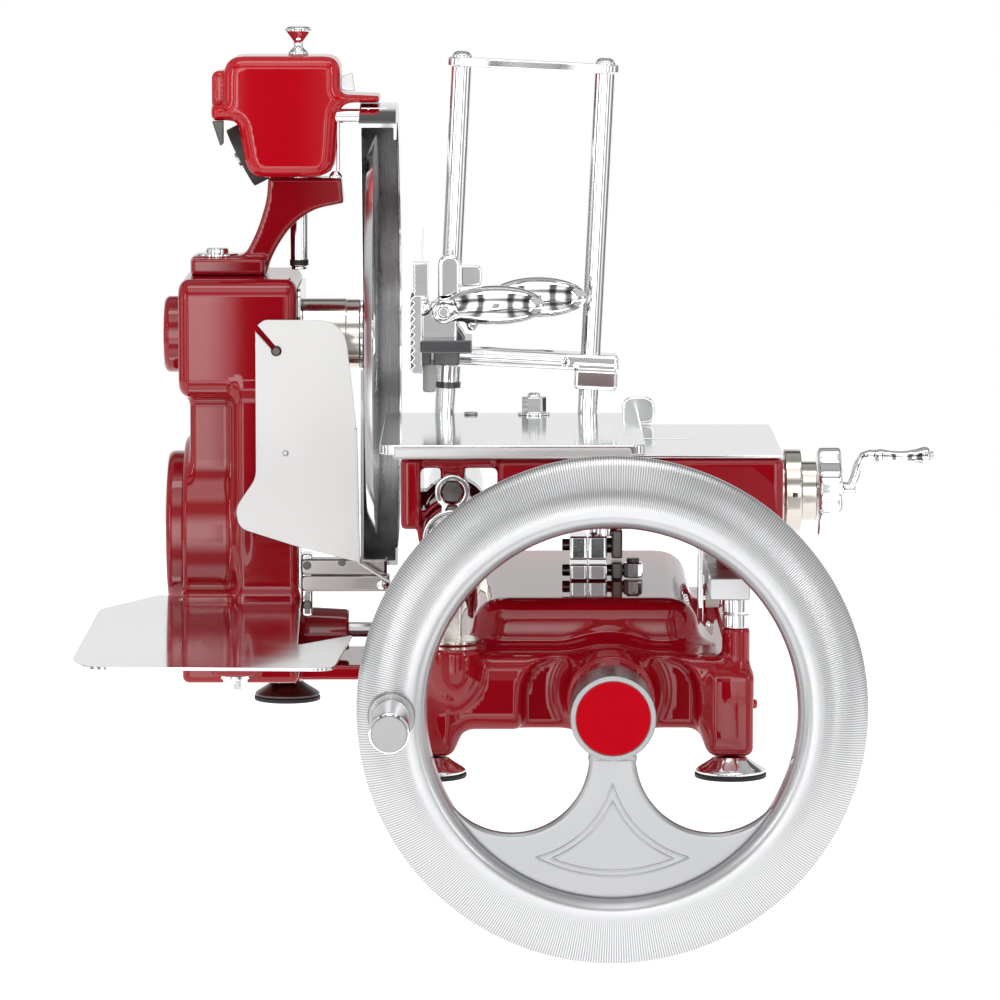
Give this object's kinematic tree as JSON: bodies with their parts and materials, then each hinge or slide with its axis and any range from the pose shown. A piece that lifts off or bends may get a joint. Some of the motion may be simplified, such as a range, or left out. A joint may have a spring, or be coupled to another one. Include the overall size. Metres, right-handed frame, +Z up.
{
  "type": "hand crank meat slicer",
  "caption": "Flywheel-driven meat slicer: a hand wheel turns a guarded round blade while a table with a rod press slides past it; with column, sharpener, deflector and slice tray.",
  "frame": {"origin": "middle of the four feet, on the plane of their undersides", "axes": "+Z up, +Y from the flywheel side to the far side, +X from the blade to the feed crank"},
  "size_m": [0.652, 0.7392, 0.6747],
  "materials": {
    "red_paint": "deep glossy red paint on cast metal",
    "bright_red_paint": "bright glossy red paint",
    "chrome": "polished chrome plate",
    "polished_sheet": "polished stainless sheet",
    "nickel": "satin nickel",
    "steel": "turned steel",
    "silver_aluminium": "satin silver with fine radial grooves",
    "blade_steel": "ground blade steel",
    "nylon": "white nylon",
    "stone": "grey abrasive stone"
  },
  "bodies": {
    "base": {"foot_front_left": "chrome", "foot_front_right": "chrome", "foot_back_right": "chrome", "foot_column": "chrome", "base_casting": "red_paint", "main_guide_bar": "chrome", "main_post_front": "nickel", "main_post_back": "nickel", "side_guide_bar": "steel", "side_post_front": "chrome", "side_post_back": "chrome", "front_bearing_collar": "chrome", "column_housing": "red_paint", "round_side_cover": "chrome", "shaft_end_cap": "red_paint", "column_face_plate": "chrome", "spindle_housing": "nickel", "blade_guard": "chrome", "sharpener_arm": "red_paint", "link_block_lower": "chrome", "tray_stud": "chrome"},
    "flywheel": {"flywheel": "silver_aluminium", "hub_inlay": "bright_red_paint", "main_shaft": "steel", "main_bevel_gear": "steel", "handle_pin": "chrome"},
    "handle": {"handle_grip": "chrome"},
    "cross_shaft": {"cross_shaft": "steel", "first_train_gear": "steel"},
    "large_gear": {"large_train_gear": "steel"},
    "small_gear": {"small_train_gear": "steel"},
    "blade": {"blade": "blade_steel", "blade_shaft": "steel", "blade_gear": "steel", "blade_nut": "chrome"},
    "carriage": {"carriage_casting": "red_paint", "carriage_cover_plate": "polished_sheet", "link_block_upper": "chrome", "roller_bracket": "chrome", "feed_collar": "nickel"},
    "roller": {"hold_down_roller": "nylon"},
    "table": {"table_plate": "polished_sheet", "table_clamp_nut": "chrome", "press_rod_left": "chrome", "press_rod_right": "chrome", "rod_top_bar": "chrome"},
    "press": {"press_bar": "chrome", "gripper_plate": "chrome"},
    "lever": {"gripper_lever": "chrome"},
    "feed_crank": {"feed_screw": "steel", "thickness_ring": "nickel", "feed_handwheel": "chrome"},
    "feed_grip": {"feed_grip": "chrome"},
    "sharpener": {"sharpener_hood": "bright_red_paint", "sharpener_post": "chrome", "sharpener_knob": "chrome", "grinding_wheel_pin": "steel"},
    "grinding_wheel": {"grinding_wheel": "stone"},
    "deflector": {"deflector_plate": "polished_sheet"},
    "tray": {"receiving_tray": "polished_sheet"}
  },
  "joints": [
    {"name": "flywheel_spin", "type": "hinge", "parent": "base", "child": "flywheel", "pos_m": [0.0524, 0, 0.064], "axis": [0, 1, 0], "continuous": true},
    {"name": "handle_spin", "type": "hinge", "parent": "flywheel", "child": "handle", "pos_m": [-0.1092, -0.36, 0.064], "axis": [0, 1, 0], "continuous": true},
    {"name": "cross_shaft_spin", "type": "hinge", "parent": "base", "child": "cross_shaft", "pos_m": [0, 0.15, 0.064], "axis": [1, 0, 0], "continuous": true},
    {"name": "large_gear_spin", "type": "hinge", "parent": "base", "child": "large_gear", "pos_m": [-0.262, 0.15, 0.1465], "axis": [1, 0, 0], "continuous": true},
    {"name": "small_gear_spin", "type": "hinge", "parent": "base", "child": "small_gear", "pos_m": [-0.262, 0.15, 0.244], "axis": [1, 0, 0], "continuous": true},
    {"name": "blade_spin", "type": "hinge", "parent": "base", "child": "blade", "pos_m": [-0.135, 0.15, 0.304], "axis": [1, 0, 0], "continuous": true},
    {"name": "carriage_slide", "type": "slide", "parent": "base", "child": "carriage", "axis": [0, 1, 0], "range_m": [0, 0.17]},
    {"name": "roller_spin", "type": "hinge", "parent": "carriage", "child": "roller", "pos_m": [0.131, -0.135, 0.127], "axis": [1, 0, 0], "continuous": true},
    {"name": "table_feed", "type": "slide", "parent": "carriage", "child": "table", "axis": [1, 0, 0], "range_m": [0, 0.12]},
    {"name": "feed_crank_spin", "type": "hinge", "parent": "carriage", "child": "feed_crank", "pos_m": [0.215, -0.03, 0.197], "axis": [1, 0, 0], "continuous": true},
    {"name": "feed_grip_spin", "type": "hinge", "parent": "feed_crank", "child": "feed_grip", "pos_m": [0.28, -0.03, 0.223], "axis": [1, 0, 0], "continuous": true},
    {"name": "press_slide", "type": "slide", "parent": "table", "child": "press", "axis": [0.0489, 0, 0.9988], "range_m": [-0.014, 0.2]},
    {"name": "gripper_lever_turn", "type": "hinge", "parent": "press", "child": "lever", "pos_m": [-0.074, 0.037, 0.333], "axis": [0, 1, 0], "range_deg": [-55, 0]},
    {"name": "sharpener_lift", "type": "slide", "parent": "base", "child": "sharpener", "axis": [0, 0, 1], "range_m": [0, 0.05]},
    {"name": "grinding_wheel_spin", "type": "hinge", "parent": "sharpener", "child": "grinding_wheel", "pos_m": [-0.2322, 0.15, 0.4485], "axis": [0.891, 0, 0.454], "continuous": true},
    {"name": "deflector_pull", "type": "slide", "parent": "base", "child": "deflector", "axis": [0, -1, 0], "range_m": [0, 0.03]},
    {"name": "tray_lift", "type": "slide", "parent": "base", "child": "tray", "axis": [0, 0, 1], "range_m": [0, 0.008]}
  ],
  "couplings": [
    {"joint": "cross_shaft_spin", "follows": "flywheel_spin", "ratio": -3},
    {"joint": "large_gear_spin", "follows": "flywheel_spin", "ratio": 1.125},
    {"joint": "small_gear_spin", "follows": "flywheel_spin", "ratio": -1.8},
    {"joint": "blade_spin", "follows": "flywheel_spin", "ratio": 3},
    {"joint": "feed_crank_spin", "follows": "table_feed", "rad_per_m": 523.6}
  ]
}
